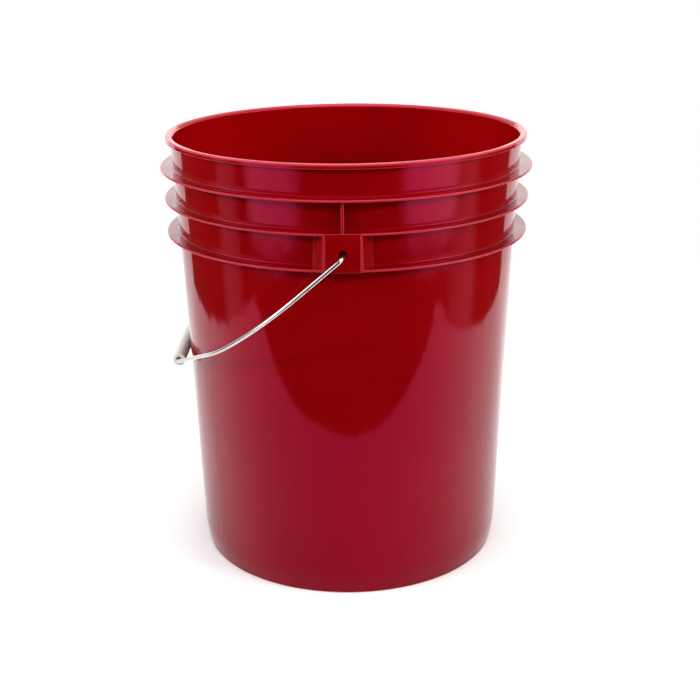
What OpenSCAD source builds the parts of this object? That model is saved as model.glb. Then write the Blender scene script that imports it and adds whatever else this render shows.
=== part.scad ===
// Open-head plastic pail with three neck flanges, a swinging wire bail and a loose hand grip.
// Millimetres, +Z up. The origin is the centre of the base, on the floor. The bail turns about Y.

/* [Pail body] */
// Height from the floor to the top of the lip
pail_h = 368; // [366:0.5:376]
// Outer radius of the foot ring on the floor
foot_r = 130; // [128.5:0.5:131]
// Height over which the wall curves in towards the foot
tuck_h = 22; // [18:1:30]
// Outer radius of the side wall where that curve begins
low_r = 133; // [132.6:0.1:134]
// Outer radius of the side wall at the lowest flange
shoulder_r = 143.3; // [142.5:0.1:144]
// Outer radius of the neck just under the lip
neck_r = 147.6; // [147:0.1:148]
// Thickness of the side wall
wall_t = 2.3; // [1.8:0.1:3]
// Thickness of the floor panel
floor_t = 2.6; // [2:0.1:4]
// Height of the floor panel's underside above the floor
floor_lift = 3.2; // [2:0.1:5]
// Width of the foot ring that the pail stands on
foot_w = 3.4; // [2.5:0.1:5]
// Radius inside the corner between the side wall and the floor panel
inner_corner_r = 7; // [5:0.5:9]
// Radius of the central pad under the floor panel, round the moulding gate
gate_pad_r = 16; // [10:1:30]

/* [Lip and flanges] */
// Outer radius of the lip
lip_r = 151.8; // [151:0.1:153]
// Height of the lip's outer face
lip_h = 4.2; // [3.5:0.1:6]
// Rounding of the lip's two top edges
lip_round = 1.5; // [0.8:0.1:1.8]
// Outer radius of the top flange
top_flange_r = 157.1; // [155:0.1:159]
// Height of the top flange's underside
top_flange_z = 340.1; // [338:0.1:344]
// Outer radius of the middle flange, which is flush with the ear's flat face
mid_flange_r = 154.4; // [153.8:0.1:155]
// Height of the middle flange's underside
mid_flange_z = 314; // [313:0.1:316]
// Outer radius of the lowest flange
low_flange_r = 153.6; // [152.5:0.1:154]
// Height of the lowest flange's underside
low_flange_z = 285.7; // [284.5:0.1:287]
// Thickness of each flange
flange_t = 2; // [1.6:0.1:2.4]
// Fillet where a flange's top meets the neck
root_r = 1.4; // [0.8:0.1:2]

/* [Ears] */
// Width of the ear's flat face
ear_w = 27.4; // [26:0.2:30]
// Widening of each side of the ear for every millimetre towards the pail
ear_flare = 0.75; // [0.5:0.05:0.9]
// Thickness of the ear's front and side walls
ear_t = 2.4; // [2:0.1:2.6]
// Diameter of the hole for the bail's end
ear_hole_d = 5.6; // [5.2:0.1:6.4]
// Diameter of the countersink round the hole's mouth
ear_sink_d = 7.6; // [7:0.1:9]
// Thickness of the upright rib above each ear
rib_t = 2.6; // [2:0.1:3.5]

/* [Bail] */
// Wire diameter
wire_d = 3.4; // [3:0.1:3.8]
// Height of the bail's turning axis
axis_z = 299.2; // [298.8:0.1:299.6]
// Distance from the turning axis to the middle of the grip
bail_drop = 189; // [188:0.5:192]
// Straight length each side of the bail's middle
middle_run = 46; // [45.5:0.5:47]
// Angle of the bend beside the grip
elbow_angle = 34.5; // [32:0.5:36]
// Centre-line radius of the bend beside the grip
elbow_r = 10; // [8:1:14]
// Straight length of the sloping shoulder
shoulder_run = 84; // [78:1:88]
// Heading of the leg at the ear, where 90 is square to the turning axis
leg_heading = 95.3; // [93:0.1:96]
// Distance from the pail's centre line to the start of the bend into the ear
pin_out = 159.4; // [159:0.1:161]
// Centre-line radius of the bend into the ear
ear_bend_r = 5; // [4:0.5:6]
// Centre-line radius of the hook behind the ear's face
hook_r = 3.4; // [3:0.1:3.6]
// Straight length of the hook
hook_run = 4.6; // [3:0.1:5.5]
// Gap between the ear's inner face and the hook
hook_gap = 0.8; // [0.4:0.1:1]

/* [Grip] */
// Length of the plastic grip
grip_len = 88; // [84:1:90]
// Outer diameter of the grip
grip_d = 11.6; // [10.4:0.1:12]
// Bore of the grip, loose on the wire
grip_bore = 4.6; // [4.4:0.1:5]
// Chamfer on the grip's two ends
grip_chamfer = 0.8; // [0.4:0.1:1.4]
// Gap left between the hanging grip and the side wall
rest_gap = 0.35; // [0.3:0.05:1]

/* [Hidden] */
$fn = 128;
flange_r = [low_flange_r, mid_flange_r, top_flange_r];
flange_z = [low_flange_z, mid_flange_z, top_flange_z];
lip_z = pail_h - lip_h;
// How far the wall moves out for every millimetre of height below the lowest flange
wall_slope = (shoulder_r - low_r) / (low_flange_z - tuck_h);
// Outer radius of the plain wall without its tucked-in foot, as a table of height and radius
base_r = low_r - wall_slope * tuck_h;
wall_line = [[0, base_r], [low_flange_z, shoulder_r], [lip_z, neck_r], [pail_h, neck_r]];
// Steps in a rounded corner of an outline
round_steps = 6;
// Rounding of the foot ring's outer edge, and small edge breaks elsewhere on the outline
foot_round = 1;
edge_break = 0.6;
// How far a cutting solid reaches past what it cuts
cut = 1;
// The ear's flat face stands this far proud of the middle flange
ear_proud = 0.1;
ear_face = mid_flange_r + ear_proud;
// The rib stands this far back from the ear's face
rib_setback = 0.6;
// The wire lies low in its hole, this far off the hole's bottom
wire_rest_gap = 0.3;
ear_hole_z = axis_z + (ear_hole_d - wire_d) / 2 - wire_rest_gap;
// Distance of the hook's centre line from the pail's centre line
hook_y = ear_face - ear_t - hook_gap - wire_d / 2;
// Extra diameter of the wire in its bends, and how far each straight run reaches into a bend
bend_swell = 0.04;
run_lap = 0.2;
// The bail hangs at this angle from straight down, where the grip comes to rest against the wall
wall_tilt = atan(wall_slope);
wall_reach = (base_r + wall_slope * axis_z) * cos(wall_tilt);
hang_angle = asin((wall_reach + grip_d / 2 + rest_gap) / bail_drop) - wall_tilt;
colour_pail = [0.62, 0.02, 0.06];
colour_wire = [0.78, 0.78, 0.76];
colour_grip = [0.9, 0.88, 0.82];

function wall_r(z) = lookup(z, wall_line);

// Points of an arc about c, from angle a to angle b
function arc(c, r, a, b, steps = round_steps) =
    [for (i = [0:steps]) c + r * [cos(a + (b - a) * i / steps), sin(a + (b - a) * i / steps)]];

// Outline of one flange from its lower root to its filleted upper root
function flange_outline(r_out, z) = concat(
    [[wall_r(z), z]],
    arc([r_out - flange_t / 2, z + flange_t / 2], flange_t / 2, -90, 90),
    arc([wall_r(z + flange_t) + root_r, z + flange_t + root_r], root_r, 270, 180)
);

// Underside of the floor panel, from the centre out to the foot ring
function under_outline() = [
    [0, floor_lift - edge_break],
    [gate_pad_r, floor_lift - edge_break],
    [gate_pad_r + edge_break, floor_lift],
    [foot_r - foot_w - floor_lift, floor_lift],
    [foot_r - foot_w, edge_break],
    [foot_r - foot_w + edge_break, 0]
];

// Side wall from the foot ring up to where its inward curve begins
function tuck_outline() = [
    for (i = [0:round_steps])
        let (up = i / round_steps, z = foot_round + (tuck_h - foot_round) * up)
        [wall_r(z) - (base_r - foot_r) * pow(1 - up, 2), z]
];

// Outer side of the pail, from the foot up to the underside of the lip
function outer_outline() = concat(
    arc([foot_r - foot_round, foot_round], foot_round, -90, -15),
    tuck_outline(),
    [for (i = [0:len(flange_z) - 1]) each flange_outline(flange_r[i], flange_z[i])],
    [[neck_r, lip_z]]
);

function lip_outline() = concat(
    [[lip_r - edge_break, lip_z], [lip_r, lip_z + edge_break]],
    arc([lip_r - lip_round, pail_h - lip_round], lip_round, 0, 90),
    arc([neck_r - wall_t + lip_round, pail_h - lip_round], lip_round, 90, 180)
);

// Inner side, from the shoulder down to the middle of the floor panel's top
function inner_outline() =
    let (
        top = floor_lift + floor_t,
        corner_z = top + inner_corner_r,
        corner_x = wall_r(corner_z) - wall_t - inner_corner_r
    )
    concat(
        [[shoulder_r - wall_t, low_flange_z]],
        arc([corner_x, corner_z], inner_corner_r, 0, -90),
        [[0, top]]
    );

module pail_shell() {
    rotate_extrude() polygon(concat(under_outline(), outer_outline(), lip_outline(), inner_outline()));
}

// Solid inside the plain wall's outer face, drawn in by inset
module wall_core(inset) {
    rotate_extrude() polygon(concat([[0, 0]], [for (p = wall_line) [p[1] - inset, p[0]]], [[0, pail_h]]));
}

// Plan of an ear, drawn in by inset from its faces and reaching back past the wall
module ear_plan(inset) {
    front = ear_face - inset;
    half = ear_w / 2 - inset;
    back = shoulder_r - 3 * wall_t;
    back_half = half + (front - back) * ear_flare;
    polygon([[-half, -front], [half, -front], [back_half, -back], [-back_half, -back]]);
}

// Ear box between the lower two flanges, with the upright rib above it
module ear_block() {
    difference() {
        union() {
            translate([0, 0, low_flange_z])
                linear_extrude(mid_flange_z + flange_t - low_flange_z) ear_plan(0);
            translate([-rib_t / 2, rib_setback - ear_face, mid_flange_z + flange_t / 2])
                cube([rib_t, ear_face - shoulder_r, top_flange_z - mid_flange_z]);
        }
        wall_core(wall_t / 2);
    }
}

// Open-bottomed pocket behind the ear's face, with the countersunk hole for the wire
module ear_pocket() {
    sink = (ear_sink_d - ear_hole_d) / 2;
    difference() {
        translate([0, 0, low_flange_z - cut])
            linear_extrude(mid_flange_z - low_flange_z + cut) ear_plan(ear_t);
        wall_core(0);
    }
    translate([0, ear_t + cut - ear_face, ear_hole_z]) rotate([90, 0, 0])
        cylinder(d = ear_hole_d, h = ear_t + 2 * cut);
    translate([0, sink - ear_face, ear_hole_z]) rotate([90, 0, 0])
        cylinder(d1 = ear_hole_d, d2 = ear_sink_d + 2 * sink, h = 2 * sink);
}

module pail() {
    color(colour_pail) difference() {
        union() {
            pail_shell();
            for (side = [0, 1]) mirror([0, side, 0]) ear_block();
        }
        for (side = [0, 1]) mirror([0, side, 0]) ear_pocket();
    }
}

// Frame of the bail: X along the turning axis, Y from the grip towards that axis
module in_bail_frame() {
    translate([0, 0, axis_z]) rotate([0, hang_angle, 0]) translate([0, 0, -bail_drop])
        rotate([90, 0, 90]) children();
}

// Bends are a hair thicker than the straight runs, which reach a little way into them
module wire_bend(r, angle) {
    translate([0, r, 0]) rotate(-90)
        rotate_extrude(angle = angle) translate([r, 0]) circle(d = wire_d + bend_swell);
}

// Wire laid along a list of [bend radius, bend angle, straight length after the bend]
module wire_run(steps, i = 0) {
    r = steps[i][0];
    angle = steps[i][1];
    run = steps[i][2];
    last = i == len(steps) - 1;
    wire_bend(r, angle);
    translate([r * sin(angle), r * (1 - cos(angle)), 0]) rotate(angle) {
        translate([-run_lap, 0, 0]) rotate([0, 90, 0])
            cylinder(d = wire_d, h = run + (last ? 1 : 2) * run_lap);
        if (!last) translate([run, 0, 0]) wire_run(steps, i + 1);
    }
}

// One side of the bail, from the elbow beside the grip to the hook behind the ear's face.
// The arc between shoulder and leg, and the leg's length, are what closes the wire.
module bail_side() {
    from = [
        middle_run + elbow_r * sin(elbow_angle) + shoulder_run * cos(elbow_angle),
        elbow_r * (1 - cos(elbow_angle)) + shoulder_run * sin(elbow_angle)
    ];
    to = [pin_out + ear_bend_r * sin(leg_heading), bail_drop - ear_bend_r * (1 + cos(leg_heading))];
    chord = to - from;
    turn_x = sin(leg_heading) - sin(elbow_angle);
    turn_y = cos(elbow_angle) - cos(leg_heading);
    det = turn_x * sin(leg_heading) - turn_y * cos(leg_heading);
    arc_r = (chord.x * sin(leg_heading) - chord.y * cos(leg_heading)) / det;
    leg_run = (turn_x * chord.y - turn_y * chord.x) / det;
    translate([middle_run, 0, 0]) wire_run([
        [elbow_r, elbow_angle, shoulder_run],
        [arc_r, leg_heading - elbow_angle, leg_run],
        [ear_bend_r, 180 - leg_heading, pin_out - hook_y - hook_r],
        [hook_r, 90, hook_run]
    ]);
}

module wire_bail() {
    color(colour_wire) in_bail_frame() {
        rotate([0, 90, 0]) cylinder(d = wire_d, h = 2 * (middle_run + run_lap), center = true);
        for (side = [0, 1]) mirror([side, 0, 0]) bail_side();
    }
}

module hand_grip() {
    half = grip_len / 2;
    color(colour_grip) in_bail_frame() rotate([0, 90, 0]) rotate_extrude() polygon([
        [grip_bore / 2, -half],
        [grip_d / 2 - grip_chamfer, -half],
        [grip_d / 2, -half + grip_chamfer],
        [grip_d / 2, half - grip_chamfer],
        [grip_d / 2 - grip_chamfer, half],
        [grip_bore / 2, half]
    ]);
}

pail();
wire_bail();
hand_grip();
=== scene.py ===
"""Looks for the plastic pail: a red moulded pail with its wire bail and a loose plastic grip.

Metres, +Z up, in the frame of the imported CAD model. The sizes repeat those of the CAD source, in millimetres.
"""
import math

import bmesh
import bpy
from mathutils import Matrix, Vector


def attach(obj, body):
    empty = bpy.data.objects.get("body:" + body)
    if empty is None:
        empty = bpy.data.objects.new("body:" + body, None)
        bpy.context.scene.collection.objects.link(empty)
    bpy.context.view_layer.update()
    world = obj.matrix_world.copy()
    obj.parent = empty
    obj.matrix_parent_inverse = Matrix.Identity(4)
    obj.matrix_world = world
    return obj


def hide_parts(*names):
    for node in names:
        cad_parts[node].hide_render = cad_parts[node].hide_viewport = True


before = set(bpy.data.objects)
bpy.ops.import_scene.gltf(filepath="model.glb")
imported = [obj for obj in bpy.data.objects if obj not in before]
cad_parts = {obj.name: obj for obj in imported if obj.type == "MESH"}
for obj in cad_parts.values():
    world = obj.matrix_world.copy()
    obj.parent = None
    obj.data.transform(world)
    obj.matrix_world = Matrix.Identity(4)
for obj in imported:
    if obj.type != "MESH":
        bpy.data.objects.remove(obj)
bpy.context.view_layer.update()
MM = 0.001

# ---------------------------------------------------------------- sizes, mm
PAIL_H = 368.0
FOOT_R, FOOT_W, FOOT_ROUND = 130.0, 3.4, 1.0
TUCK_H, LOW_R = 22.0, 133.0
SHOULDER_R, NECK_R = 143.3, 147.6
WALL_T, FLOOR_T, FLOOR_LIFT = 2.3, 2.6, 3.2
INNER_CORNER_R = 7.0
# under the floor panel, the steps round the moulding gate: where each starts and ends, and its depth
GATE_SPOT, GATE_SPOT_DEPTH = (5.2, 6.0), 1.0
GATE_PAD, GATE_PAD_DEPTH = (15.6, 16.4), 0.5
LIP_R, LIP_H = 151.8, 4.2
LIP_Z = PAIL_H - LIP_H
CREST_OUT_R, CREST_IN_R = 149.3, 146.6
# outer radius and underside height of each flange, from the lowest up
FLANGES = [(153.6, 285.7), (154.4, 314.0), (157.1, 340.1)]
FLANGE_T = 2.0
EAR_W, EAR_FLARE, EAR_T, EAR_FACE = 27.4, 0.75, 2.4, 154.5
EAR_HOLE_D, EAR_SINK_D = 5.6, 7.6
RIB_T, RIB_SETBACK = 2.6, 0.6
WIRE_D, AXIS_Z, BAIL_DROP = 3.4, 299.2, 189.0
MIDDLE_RUN, ELBOW_ANGLE, ELBOW_R, SHOULDER_RUN = 46.0, 34.5, 10.0, 84.0
LEG_HEADING, PIN_OUT, EAR_BEND_R = 95.3, 159.4, 5.0
HOOK_R, HOOK_RUN, HOOK_GAP = 3.4, 4.6, 0.8
GRIP_LEN, GRIP_D, GRIP_BORE, REST_GAP = 88.0, 11.6, 4.6, 0.35
GRIP_SHOULDER = 7.0
HOLE_Z = AXIS_Z + (EAR_HOLE_D - WIRE_D) / 2 - 0.3

WALL_SLOPE = (SHOULDER_R - LOW_R) / (FLANGES[0][1] - TUCK_H)
BASE_R = LOW_R - WALL_SLOPE * TUCK_H
WALL_TILT = math.atan(WALL_SLOPE)
WALL_REACH = (BASE_R + WALL_SLOPE * AXIS_Z) * math.cos(WALL_TILT)
HANG = math.asin((WALL_REACH + GRIP_D / 2 + REST_GAP) / BAIL_DROP) - WALL_TILT

# ---------------------------------------------------------------- facets
PAIL_SEGMENTS = 360
WIRE_SIDES = 28
GRIP_SIDES = 72
HOLE_SIDES = 48
PAIL_SHARP = 38
ROUND_SHARP = 50
# edges curved more sharply than this, in 1/mm, all count the same
CURVE_LIMIT = 4.0


def wall_r(z):
    """Outer radius of the plain wall at height z."""
    if z <= FLANGES[0][1]:
        return BASE_R + WALL_SLOPE * z
    if z >= LIP_Z:
        return NECK_R
    t = (z - FLANGES[0][1]) / (LIP_Z - FLANGES[0][1])
    return SHOULDER_R + (NECK_R - SHOULDER_R) * t


# ---------------------------------------------------------------- mesh helpers
def filleted(points, steps=6):
    """Outline through (x, y, fillet radius) points, each but the first and the last rounded."""
    out = []
    for i, (x, y, r) in enumerate(points):
        p = Vector((x, y))
        if r <= 0 or i in (0, len(points) - 1):
            out.append(p)
            continue
        a = Vector(points[i - 1][:2]) - p
        b = Vector(points[i + 1][:2]) - p
        la, lb = a.length, b.length
        a.normalize()
        b.normalize()
        theta = math.acos(max(-1, min(1, a.dot(b))))
        if math.pi - theta < 0.02:
            out.append(p)
            continue
        # a fillet takes at most 0.48 of each side, so that two never meet
        reach = min(r / math.tan(theta / 2), 0.48 * la, 0.48 * lb)
        r = reach * math.tan(theta / 2)
        centre = p + (a + b).normalized() * (r / math.sin(theta / 2))
        start, end = p + a * reach - centre, p + b * reach - centre
        turn = start.angle_signed(end)
        n = max(3, round(steps * abs(turn) / (math.pi / 2)))
        for k in range(n + 1):
            angle = -turn * k / n
            c, s = math.cos(angle), math.sin(angle)
            out.append(centre + Vector((start.x * c - start.y * s, start.x * s + start.y * c)))
    return out


def smooth_below(bm, degrees):
    """Smooth shading, with edges sharper than this angle kept hard."""
    for e in bm.edges:
        if len(e.link_faces) == 2:
            e.smooth = e.calc_face_angle(0) < math.radians(degrees)
    for f in bm.faces:
        f.smooth = True


def show(name, data):
    ob = bpy.data.objects.new(name, data)
    bpy.context.scene.collection.objects.link(ob)
    return ob


def finish_mesh(name, bm, sharp=40):
    bmesh.ops.recalc_face_normals(bm, faces=bm.faces)
    smooth_below(bm, sharp)
    mesh = bpy.data.meshes.new(name)
    bm.to_mesh(mesh)
    bm.free()
    return show(name, mesh)


def around_ring(n):
    """Cosine and sine of n even steps round a circle."""
    return [(math.cos(2 * math.pi * k / n), math.sin(2 * math.pi * k / n)) for k in range(n)]


def skin(bm, lo, hi):
    """Faces between two rings with the same number of vertices."""
    n = len(lo)
    for k in range(n):
        bm.faces.new((lo[k], lo[(k + 1) % n], hi[(k + 1) % n], hi[k]))


def lathe(profile, segments):
    """Solid of revolution about Z of an outline in mm that starts and ends on the axis."""
    bm = bmesh.new()
    rings = []
    for p in profile:
        if p.x < 1e-6:
            rings.append([bm.verts.new((0, 0, p.y * MM))])
            continue
        # a rounded corner can stray below the floor by a rounding error
        z = max(0.0, p.y) * MM
        rings.append([bm.verts.new((p.x * c * MM, p.x * s * MM, z)) for c, s in around_ring(segments)])
    for lo, hi in zip(rings, rings[1:]):
        if len(lo) == len(hi):
            skin(bm, lo, hi)
            continue
        for k in range(segments):
            j = (k + 1) % segments
            if len(lo) == 1:
                bm.faces.new((lo[0], hi[j], hi[k]))
            else:
                bm.faces.new((lo[k], lo[j], hi[0]))
    return bm


def loft(rings):
    """Closed solid through rings of 3-D points in mm, all with the same number of points."""
    bm = bmesh.new()
    made = [[bm.verts.new(Vector(p) * MM) for p in ring] for ring in rings]
    for lo, hi in zip(made, made[1:]):
        skin(bm, lo, hi)
    bm.faces.new(list(reversed(made[0])))
    bm.faces.new(made[-1])
    return bm


def mark_edges(bm):
    """Writes each vertex's sharpest outward curvature, 1/mm, into the attribute edge_curve."""
    layer = bm.verts.layers.float.new("edge_curve")
    for v in bm.verts:
        curve = 0.0
        for e in v.link_edges:
            if len(e.link_faces) == 2 and e.calc_length() > 1e-7:
                width = sum(f.calc_area() for f in e.link_faces) / 2 / e.calc_length()
                if width > 1e-7:
                    curve = max(curve, e.calc_face_angle_signed(0) / width * MM)
        v[layer] = min(curve, CURVE_LIMIT)


def combine(ob, tool, operation):
    """Applies one exact Boolean of tool to ob, and removes tool."""
    modifier = ob.modifiers.new("combine", "BOOLEAN")
    modifier.operation = operation
    modifier.solver = "EXACT"
    modifier.object = tool
    bpy.context.view_layer.update()
    evaluated = ob.evaluated_get(bpy.context.evaluated_depsgraph_get())
    mesh = bpy.data.meshes.new_from_object(evaluated)
    ob.modifiers.clear()
    old = ob.data
    ob.data = mesh
    bpy.data.meshes.remove(old)
    bpy.data.objects.remove(tool)


# ---------------------------------------------------------------- the pail
def pail_profile():
    """Half section of the pail: out along the underside, up the outside, and down the inside."""
    spot_z, pad_z = FLOOR_LIFT - GATE_SPOT_DEPTH, FLOOR_LIFT - GATE_PAD_DEPTH
    ring_in = FOOT_R - FOOT_W
    pts = [
        (0, spot_z, 0), (GATE_SPOT[0], spot_z, 0.3), (GATE_SPOT[1], pad_z, 0.3),
        (GATE_PAD[0], pad_z, 0.4), (GATE_PAD[1], FLOOR_LIFT, 0.4),
        (ring_in - FLOOR_LIFT, FLOOR_LIFT, 1.5),
        (ring_in, 0.3, 0.5), (ring_in + 0.8, 0, 0.4),
        (FOOT_R, 0, FOOT_ROUND),
    ]
    tuck_steps, tuck_z = 8, FOOT_ROUND + 0.4
    for i in range(1, tuck_steps + 1):
        up = i / tuck_steps
        z = tuck_z + (TUCK_H - FOOT_ROUND - 0.4) * up
        pts.append((wall_r(z) - (BASE_R - FOOT_R) * (1 - up) ** 2, z, 0))
    for r, z in FLANGES:
        pts += [
            (wall_r(z), z, 0.7), (r, z + 0.15, 0.8), (r, z + FLANGE_T, 0.9),
            (wall_r(z + FLANGE_T), z + FLANGE_T, 1.4),
        ]
    pts += [
        (NECK_R, LIP_Z, 0.6), (LIP_R, LIP_Z + 0.1, 0.7), (LIP_R, PAIL_H, 1.7),
        (CREST_OUT_R, PAIL_H, 1.0), (CREST_IN_R, PAIL_H - 0.5, 1.2), (NECK_R - WALL_T, PAIL_H - 2.0, 1.0),
        (NECK_R - WALL_T, LIP_Z - 4, 6.0),
        (SHOULDER_R - WALL_T, FLANGES[0][1], 8.0),
    ]
    top = FLOOR_LIFT + FLOOR_T
    pts += [(BASE_R + WALL_SLOPE * top - WALL_T, top, INNER_CORNER_R), (0, top, 0)]
    return filleted(pts)


def ear_plan(z, inset, back_offset, rounding):
    """Plan of an ear at height z, its back following the wall, back_offset outside the wall's outer face."""
    front = EAR_FACE - inset
    half = EAR_W / 2 - inset
    radius = wall_r(z) + back_offset

    def side_x(y):
        return half + (front - y) * EAR_FLARE
    # bisection for the depth at which the flared side meets the wall
    back_y, near = 100.0, front
    for _ in range(40):
        mid = (back_y + near) / 2
        if math.hypot(side_x(mid), mid) > radius:
            near = mid
        else:
            back_y = mid
    back_angle = math.atan2(side_x(back_y), back_y)
    corners = [(side_x(back_y), -back_y, 0), (half, -front, rounding), (-half, -front, rounding),
               (-side_x(back_y), -back_y, 0)]
    pts = filleted(corners, steps=8)
    arc_steps = 16
    for k in range(1, arc_steps):
        a = -back_angle + 2 * back_angle * k / arc_steps
        pts.append(Vector((radius * math.sin(a), -radius * math.cos(a))))
    return [(p.x, p.y, z) for p in pts]


def ear_solid():
    """The ear's outside, from the lowest flange to the middle one, with eased ends."""
    z0, z1 = FLANGES[0][1], FLANGES[1][1] + FLANGE_T
    levels = [(z0, 0.35), (z0 + 0.12, 0.12), (z0 + 0.4, 0.0), (z1 - 0.5, 0.0), (z1 - 0.15, 0.12), (z1, 0.4)]
    return loft([ear_plan(z, inset, -WALL_T / 2, 1.15) for z, inset in levels])


def pocket_solid():
    """The hollow behind the ear's walls, open at the bottom."""
    z0, z1 = FLANGES[0][1] - 1.0, FLANGES[1][1]
    return loft([ear_plan(z, EAR_T, 0.02, 0.4) for z in (z0, z1 - 0.6, z1)])


def rib_solid():
    """The upright rib between the middle flange and the top one."""
    face, half = RIB_SETBACK - EAR_FACE, RIB_T / 2
    rings = []
    for z in (FLANGES[1][1] + FLANGE_T / 2, FLANGES[2][1] + FLANGE_T / 2):
        root = WALL_T / 2 - wall_r(z)
        plan = filleted([
            (half, root, 0), (half * 0.9, face, 0.7), (-half * 0.9, face, 0.7), (-half, root, 0)])
        rings.append([(p.x, p.y, z) for p in plan])
    return loft(rings)


def hole_solid():
    """Drill with a rounded mouth, along Y through the ear's face."""
    radius = EAR_HOLE_D / 2
    mouth = (EAR_SINK_D - EAR_HOLE_D) / 2
    mouth_steps = 6
    stations = [(EAR_FACE - EAR_T - 1.0, radius), (EAR_FACE - mouth, radius)]
    for k in range(1, mouth_steps + 1):
        a = math.pi / 2 * k / mouth_steps
        stations.append((EAR_FACE - mouth * math.cos(a), radius + mouth * (1 - math.cos(a))))
    stations.append((EAR_FACE + 1.0, radius + mouth + 0.2))
    return loft([[(r * c, -out, HOLE_Z + r * s) for c, s in around_ring(HOLE_SIDES)] for out, r in stations])


def build_pail():
    ob = finish_mesh("pail_shell", lathe(pail_profile(), PAIL_SEGMENTS))
    for turn in (0, math.pi):
        spin = Matrix.Rotation(turn, 4, "Z")
        for maker, operation in ((ear_solid, "UNION"), (rib_solid, "UNION"),
                                 (pocket_solid, "DIFFERENCE"), (hole_solid, "DIFFERENCE")):
            tool = finish_mesh("tool", maker())
            tool.data.transform(spin)
            combine(ob, tool, operation)
    bm = bmesh.new()
    bm.from_mesh(ob.data)
    bmesh.ops.remove_doubles(bm, verts=bm.verts, dist=2e-6)
    smooth_below(bm, PAIL_SHARP)
    mark_edges(bm)
    bm.to_mesh(ob.data)
    bm.free()
    weighted = ob.modifiers.new("weighted_normals", "WEIGHTED_NORMAL")
    weighted.mode = "FACE_AREA"
    weighted.keep_sharp = True
    return ob


# ---------------------------------------------------------------- wire and grip
def bail_frame():
    """Matrix from the bail's own frame (X along the turning axis, Y from the grip to it) to the row's."""
    return (Matrix.Translation((0, 0, AXIS_Z * MM)) @ Matrix.Rotation(HANG, 4, "Y")
            @ Matrix.Translation((0, 0, -BAIL_DROP * MM)) @ Matrix.Rotation(math.pi / 2, 4, "Z")
            @ Matrix.Rotation(math.pi / 2, 4, "X"))


def bail_path():
    """Half the bail's centre line, mm, from the middle of the grip to the hook's tip, as (point, heading)."""
    elbow, leg = math.radians(ELBOW_ANGLE), math.radians(LEG_HEADING)
    start = Vector((MIDDLE_RUN + ELBOW_R * math.sin(elbow) + SHOULDER_RUN * math.cos(elbow),
                    ELBOW_R * (1 - math.cos(elbow)) + SHOULDER_RUN * math.sin(elbow)))
    end = Vector((PIN_OUT + EAR_BEND_R * math.sin(leg), BAIL_DROP - EAR_BEND_R * (1 + math.cos(leg))))
    # the big arc's radius and the straight leg after it, solved so that they join start to end
    chord = end - start
    turn = Vector((math.sin(leg) - math.sin(elbow), math.cos(elbow) - math.cos(leg)))
    det = turn.x * math.sin(leg) - turn.y * math.cos(leg)
    arc_r = (chord.x * math.sin(leg) - chord.y * math.cos(leg)) / det
    leg_run = (turn.x * chord.y - turn.y * chord.x) / det
    hook_y = EAR_FACE - EAR_T - HOOK_GAP - WIRE_D / 2
    # bend radius, bend angle, and the straight run that follows
    steps = [(ELBOW_R, elbow, SHOULDER_RUN), (arc_r, leg - elbow, leg_run),
             (EAR_BEND_R, math.pi - leg, PIN_OUT - hook_y - HOOK_R), (HOOK_R, math.pi / 2, HOOK_RUN)]
    p, h = Vector((0.0, 0.0)), 0.0
    line = [(p.copy(), h)]

    def straight(length, pieces):
        nonlocal p
        for _ in range(pieces):
            p = p + Vector((math.cos(h), math.sin(h))) * (length / pieces)
            line.append((p.copy(), h))
    straight(MIDDLE_RUN, 12)
    for r, angle, run in steps:
        n = max(10, round(math.degrees(angle) / 3))
        for _ in range(n):
            half = angle / n / 2
            chord_len = 2 * r * math.sin(half)
            p = p + Vector((math.cos(h + half), math.sin(h + half))) * chord_len
            h += 2 * half
            line.append((p.copy(), h))
        straight(run, max(2, round(run / 4)))
    return line


def sheared_end(p, h, direction):
    """Stations of a rounded, sheared wire end, as (point, heading, radius), towards the tip."""
    tangent = Vector((math.cos(h), math.sin(h))) * direction
    return [(p - tangent * back, h, WIRE_D / 2 * share)
            for back, share in ((0.75, 1.0), (0.35, 0.97), (0.1, 0.88), (0.0, 0.72))]


def build_wire():
    half = bail_path()
    line = [(Vector((-p.x, p.y)), -h) for p, h in reversed(half[1:])] + half
    stations = list(reversed(sheared_end(*line[0], -1)))
    stations += [(p, h, WIRE_D / 2) for p, h in line[1:-1]]
    stations += sheared_end(*line[-1], 1)
    rings = []
    for p, h, r in stations:
        side = Vector((-math.sin(h), math.cos(h)))
        rings.append([(*(p + side * (r * c)), r * s) for c, s in around_ring(WIRE_SIDES)])
    bm = loft(rings)
    bm.transform(bail_frame())
    return finish_mesh("bail_wire", bm, ROUND_SHARP)


def build_grip():
    half = GRIP_LEN / 2
    bore, outer = GRIP_BORE / 2, GRIP_D / 2
    # the outline runs once round the tube's section; its last point all but meets the first, and is dropped
    profile = filleted([
        (bore, 0, 0), (bore, -half, 0.4), (outer, -half, 1.1), (outer, GRIP_SHOULDER - half, 3),
        (outer, half - GRIP_SHOULDER, 3), (outer, half, 1.1), (bore, half, 0.4), (bore, 0.001, 0)])
    bm = bmesh.new()
    rings = [[bm.verts.new((p.y * MM, p.x * c * MM, p.x * s * MM)) for c, s in around_ring(GRIP_SIDES)]
             for p in profile[:-1]]
    for lo, hi in zip(rings, rings[1:] + rings[:1]):
        skin(bm, lo, hi)
    bm.transform(bail_frame())
    return finish_mesh("grip_tube", bm, ROUND_SHARP)


# ---------------------------------------------------------------- node helpers
def material(name):
    mat = bpy.data.materials.new(name)
    mat.use_nodes = True
    nt = mat.node_tree
    nt.nodes.clear()
    out = nt.nodes.new("ShaderNodeOutputMaterial")
    shader = nt.nodes.new("ShaderNodeBsdfPrincipled")
    nt.links.new(shader.outputs[0], out.inputs[0])
    return mat, nt, shader


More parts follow.
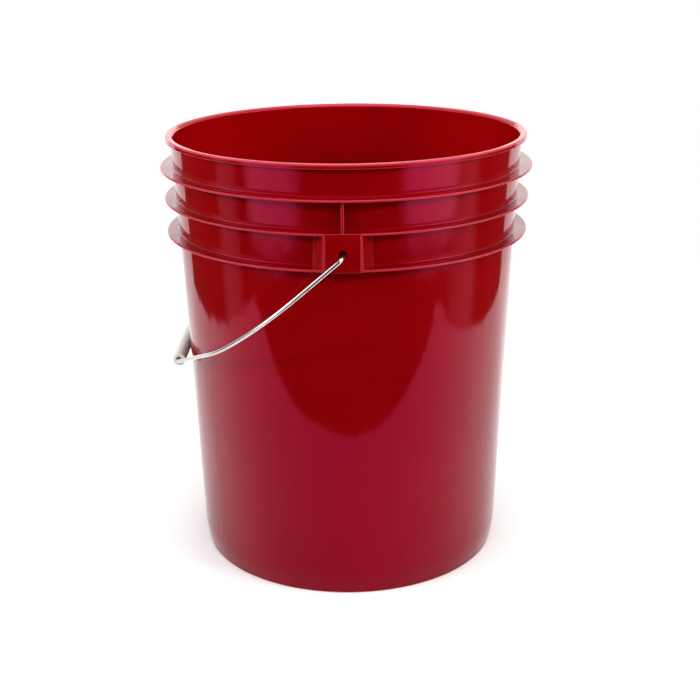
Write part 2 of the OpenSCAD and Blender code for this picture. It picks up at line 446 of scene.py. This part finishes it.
def node(nt, kind, inputs=None, **props):
    n = nt.nodes.new(kind)
    for k, v in props.items():
        setattr(n, k, v)
    for k, v in (inputs or {}).items():
        if isinstance(v, bpy.types.NodeSocket):
            nt.links.new(v, n.inputs[k])
        else:
            n.inputs[k].default_value = v
    return n


def place(nt, scale):
    """Object coordinates, stretched by scale."""
    coords = node(nt, "ShaderNodeTexCoord")
    return node(nt, "ShaderNodeMapping", {"Vector": coords.outputs["Object"], "Scale": scale}).outputs[0]


def noise_of(nt, vector, scale, detail=2.0, rough=0.5, distortion=0.0):
    return node(nt, "ShaderNodeTexNoise", {
        "Vector": vector, "Scale": scale, "Detail": detail, "Roughness": rough,
        "Distortion": distortion}).outputs["Fac"]


def ramp(nt, fac, lo, hi, a=0.0, b=1.0, kind="LINEAR"):
    """Maps fac from lo..hi to a..b, clamped."""
    ins = {"Value": fac, "From Min": lo, "From Max": hi, "To Min": a, "To Max": b}
    return node(nt, "ShaderNodeMapRange", ins, interpolation_type=kind).outputs[0]


def maths(nt, op, a, b=0.0, clamp=False):
    return node(nt, "ShaderNodeMath", {0: a, 1: b}, operation=op, use_clamp=clamp).outputs[0]


def mixed(nt, fac, a, b):
    """Colour a turned towards colour b by fac."""
    return node(nt, "ShaderNodeMix", {0: fac, 6: a, 7: b}, data_type="RGBA").outputs[2]


def bump(nt, height, strength, distance, normal=None):
    ins = {"Height": height, "Strength": strength, "Distance": distance}
    if normal is not None:
        ins["Normal"] = normal
    return node(nt, "ShaderNodeBump", ins).outputs[0]


def surface(nt, shader, colour, roughness, normal):
    nt.links.new(colour, shader.inputs["Base Color"])
    nt.links.new(roughness, shader.inputs["Roughness"])
    nt.links.new(normal, shader.inputs["Normal"])


# ---------------------------------------------------------------- materials
def red_plastic():
    """Glossy dyed polyethylene, a little uneven as moulded, paler on its edges (partly wear, partly a painted
    highlight), with a painted highlight along the lip's crest, and finely scuffed.
    """
    deep, bright, streak = (0.128, 0.0002, 0.0005, 1), (0.150, 0.0003, 0.0007, 1), (0.121, 0.0002, 0.0005, 1)
    # in the next row, the first colour is painted on rounded edges, partly wear and partly a painted highlight;
    # the second is a painted highlight on the lip's crest; the third is real scuffing
    edge_sheen_and_wear_red, crest_highlight_red, scuffed = (0.33, 0.022, 0.032, 1), (0.40, 0.045, 0.06, 1), (0.60, 0.08, 0.09, 1)
    mat, nt, shader = material("red_plastic")
    even = place(nt, (1, 1, 1))
    tall = place(nt, (1, 1, 0.06))
    leaning = place(nt, (1, 1, 0.45))
    broad = noise_of(nt, even, 9, 3, 0.55)
    flow = noise_of(nt, tall, 38, 3, 0.5)
    warp = noise_of(nt, leaning, 13, 1, 0.4)
    ripple = noise_of(nt, leaning, 60, 2, 0.5)
    grain = noise_of(nt, even, 700, 2, 0.5)
    colour = mixed(nt, ramp(nt, broad, 0.3, 0.7), deep, bright)
    colour = mixed(nt, ramp(nt, flow, 0.35, 0.75, 0, 0.25), colour, streak)
    # rounded edges are painted paler: partly wear, partly a painted highlight along each edge
    edge = node(nt, "ShaderNodeAttribute", attribute_name="edge_curve").outputs["Fac"]
    edge_sheen_and_wear = maths(nt, "MULTIPLY", ramp(nt, edge, 0.3, 1.1), ramp(nt, broad, 0.25, 0.7, 0.45, 0.8))
    colour = mixed(nt, edge_sheen_and_wear, colour, edge_sheen_and_wear_red)
    # the crest of the lip gets a painted highlight, paler towards the top
    height = node(nt, "ShaderNodeSeparateXYZ", {"Vector": even}).outputs["Z"]
    crest_highlight = ramp(nt, height, (PAIL_H - 2.2) * MM, (PAIL_H - 0.2) * MM, 0.0, 0.55)
    colour = mixed(nt, crest_highlight, colour, crest_highlight_red)
    # fine scuffs, thin lines in two directions, in patches
    scuff_a = noise_of(nt, place(nt, (6, 6, 140)), 12, 2, 0.6, 0.3)
    scuff_b = noise_of(nt, place(nt, (150, 150, 9)), 7, 2, 0.6, 0.3)
    scuffs = maths(nt, "MAXIMUM", ramp(nt, scuff_a, 0.70, 0.80), ramp(nt, scuff_b, 0.71, 0.80))
    patches = ramp(nt, noise_of(nt, even, 16, 2, 0.5), 0.5, 0.68)
    scuffs = maths(nt, "MULTIPLY", scuffs, patches, True)
    faint_scuffs = maths(nt, "MULTIPLY", scuffs, 0.08)
    colour = mixed(nt, faint_scuffs, colour, scuffed)
    roughness = maths(nt, "ADD", ramp(nt, broad, 0.3, 0.7, 0.055, 0.085), faint_scuffs)
    # from the wall's slow waves down to the mould's grain
    normal = bump(nt, warp, 1.0, 0.0016)
    normal = bump(nt, ripple, 1.0, 0.00022, normal)
    normal = bump(nt, flow, 0.2, 0.0002, normal)
    normal = bump(nt, grain, 0.10, 0.00005, normal)
    surface(nt, shader, colour, roughness, normal)
    shader.inputs["Specular Tint"].default_value = (1.0, 0.06, 0.30, 1)
    shader.inputs["IOR"].default_value = 1.5
    return mat


def zinc_wire():
    """Bright zinc-plated wire with a faint spangle, dull patches and fine drawing marks."""
    dark, light, dulled = (0.50, 0.495, 0.48, 1), (0.62, 0.61, 0.59, 1), (0.36, 0.36, 0.35, 1)
    mat, nt, shader = material("zinc_wire")
    even = place(nt, (1, 1, 1))
    spangle = noise_of(nt, even, 300, 3, 0.6)
    dull = noise_of(nt, even, 45, 3, 0.6)
    draw = noise_of(nt, even, 2600, 1, 0.5)
    colour = mixed(nt, ramp(nt, spangle, 0.35, 0.65), dark, light)
    colour = mixed(nt, ramp(nt, dull, 0.58, 0.78, 0, 0.3), colour, dulled)
    surface(nt, shader, colour, ramp(nt, dull, 0.3, 0.75, 0.13, 0.22), bump(nt, draw, 0.12, 0.00002))
    shader.inputs["Metallic"].default_value = 1.0
    return mat


def natural_plastic():
    """Undyed off-white polyethylene, cloudy and slightly translucent."""
    dark, light = (0.47, 0.45, 0.405, 1), (0.58, 0.56, 0.515, 1)
    mat, nt, shader = material("natural_plastic")
    even = place(nt, (1, 1, 1))
    cloud = noise_of(nt, even, 70, 3, 0.55)
    grain = noise_of(nt, even, 1500, 2, 0.5)
    colour = mixed(nt, ramp(nt, cloud, 0.35, 0.7), dark, light)
    surface(nt, shader, colour, ramp(nt, cloud, 0.3, 0.7, 0.36, 0.48), bump(nt, grain, 0.2, 0.00005))
    shader.inputs["Subsurface Weight"].default_value = 0.25
    shader.inputs["Subsurface Radius"].default_value = (0.004, 0.003, 0.002)
    shader.inputs["Subsurface Scale"].default_value = 1.0
    return mat


def dress(ob, mat, slot_name, body, *nodes):
    ob.data.materials.clear()
    ob.data.materials.append(mat)
    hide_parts(*nodes)
    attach(ob, body)


dress(build_pail(), red_plastic(), "red_plastic", "pail", "pail")
dress(build_wire(), zinc_wire(), "zinc_wire", "bail", "wire_bail")
dress(build_grip(), natural_plastic(), "natural_plastic", "grip", "hand_grip")


# ---------------------------------------------------------------- floor
# a white table top, metres; its reflected left, right and front edges draw the arch on the pail's wall
TABLE_LEFT, TABLE_RIGHT, TABLE_FRONT, TABLE_BACK = -0.705, 0.69, -0.418, 0.9
TABLE_Z = -0.0002


def stage_floor():
    bm = bmesh.new()
    corners = ((TABLE_LEFT, TABLE_FRONT), (TABLE_RIGHT, TABLE_FRONT),
               (TABLE_RIGHT, TABLE_BACK), (TABLE_LEFT, TABLE_BACK))
    bm.faces.new([bm.verts.new((x, y, TABLE_Z)) for x, y in corners])
    ob = finish_mesh("floor", bm)
    mat, _, shader = material("floor_paper")
    shader.inputs["Base Color"].default_value = (0.90, 0.90, 0.90, 1)
    shader.inputs["Roughness"].default_value = 0.9
    shader.inputs["Specular IOR Level"].default_value = 0.1
    ob.data.materials.append(mat)


# ---------------------------------------------------------------- light
def around(azimuth, distance, height):
    """A point at an azimuth from the front (0 is -Y, 90 is +X)."""
    a = math.radians(azimuth)
    return (distance * math.sin(a), -distance * math.cos(a), height)


def hang_light(name, data, place_at, aim, shows):
    """Aims a light; shows says whether reflections show it."""
    ob = show(name, data)
    ob.location = place_at
    ob.rotation_mode = "QUATERNION"
    ob.rotation_quaternion = (Vector(aim) - Vector(place_at)).to_track_quat("-Z", "Y")
    ob.visible_glossy = shows


def softbox(name, place_at, aim, size, power, shape="RECTANGLE", edge=0.0, shows=True):
    """An area light; edge is the share of its width over which it fades out."""
    data = bpy.data.lights.new(name, "AREA")
    data.shape = shape
    data.size, data.size_y = size
    data.energy = power
    if edge:
        data.use_nodes = True
        nt = data.node_tree
        spot = node(nt, "ShaderNodeNewGeometry").outputs["Parametric"]
        across = node(nt, "ShaderNodeSeparateXYZ", {0: spot})
        fades = []
        for axis, share in (("X", edge), ("Y", edge / 4)):
            away = maths(nt, "ABSOLUTE", maths(nt, "SUBTRACT", across.outputs[axis], 0.5))
            fades.append(ramp(nt, away, 0.5 - share, 0.5, 1.0, 0.0, "SMOOTHSTEP"))
        nt.links.new(maths(nt, "MULTIPLY", *fades), nt.nodes["Emission"].inputs["Strength"])
    hang_light(name, data, place_at, aim, shows)


def rim_spot(name, place_at, power):
    """A soft round beam on the rim and the inside."""
    data = bpy.data.lights.new(name, "SPOT")
    data.energy = power
    data.spot_size = math.radians(11.5)
    data.spot_blend = 1.0
    data.shadow_soft_size = 0.22
    hang_light(name, data, place_at, (0, 0, 0.365), False)


stage_floor()
# place, aim and size in metres, power in watts
softbox("overhead", (0, 0.1, 2.3), (0, 0.1, 0), (1.8, 1.8), 50, edge=0.3)
softbox("front_top", (0, -1.9, 1.4), (0, 0, 0.25), (2.4, 0.9), 20, "ELLIPSE", shows=False)
softbox("left", around(-46, 1.4, 0.38), around(0, 0, 0.38), (1.1, 1.15), 10.5, edge=0.3)
softbox("right", around(55, 1.4, 0.38), around(0, 0, 0.38), (1.2, 1.15), 13.0, edge=0.3)
softbox("left_column", around(-80, 1.5, 0.3), around(0, 0, 0.3), (0.6, 1.5), 1.7, edge=0.35)
softbox("right_column", around(82, 1.5, 0.3), around(0, 0, 0.3), (0.8, 1.5), 2.2, edge=0.35)
softbox("left_high", around(-75, 1.7, 1.2), (0, 0, 0.3), (1.9, 1.2), 24, edge=0.35)
softbox("right_high", around(72, 1.7, 1.2), (0, 0, 0.3), (1.9, 1.2), 28, edge=0.35)
softbox("backdrop", (0, 1.75, 0.05), (0, 0, 0.05), (4.1, 1.6), 25)
rim_spot("left_rim", around(-66, 1.9, 1.2), 450)
rim_spot("right_rim", around(66, 1.9, 1.2), 450)

# a pale tent above the table top, and little below it; the camera itself sees plain white
TENT_BELOW, TENT_ABOVE = 0.05, 0.4
world = bpy.data.worlds.new("world")
bpy.context.scene.world = world
world.use_nodes = True
sky = world.node_tree
tent = sky.nodes["Background"]
tent.inputs["Color"].default_value = (1, 1, 1, 1)
heading = node(sky, "ShaderNodeSeparateXYZ", {0: node(sky, "ShaderNodeTexCoord").outputs["Generated"]})
sky.links.new(ramp(sky, heading.outputs["Z"], -0.05, 0.2, TENT_BELOW, TENT_ABOVE), tent.inputs["Strength"])
white = node(sky, "ShaderNodeBackground", {"Color": (1, 1, 1, 1), "Strength": 1.0})
path = node(sky, "ShaderNodeLightPath")
blend = node(sky, "ShaderNodeMixShader", {
    0: path.outputs["Is Camera Ray"], 1: tent.outputs[0], 2: white.outputs[0]})
sky.links.new(blend.outputs[0], sky.nodes["World Output"].inputs["Surface"])

bpy.context.scene.view_settings.view_transform = "Standard"

# ---------------------------------------------------------------- camera
CAMERA_PLACE = (0.02405, -1.0932, 0.5510)
CAMERA_HEADING, CAMERA_TILT, CAMERA_ROLL = math.radians(1.176), math.radians(70.845), math.radians(-0.552)
camera_data = bpy.data.cameras.new("camera")
camera_data.sensor_width = 36.0
camera_data.lens = 66.6
camera = show("camera", camera_data)
camera.matrix_world = (Matrix.Translation(CAMERA_PLACE) @ Matrix.Rotation(CAMERA_HEADING, 4, "Z")
                       @ Matrix.Rotation(CAMERA_TILT, 4, "X") @ Matrix.Rotation(CAMERA_ROLL, 4, "Z"))
bpy.context.scene.camera = camera
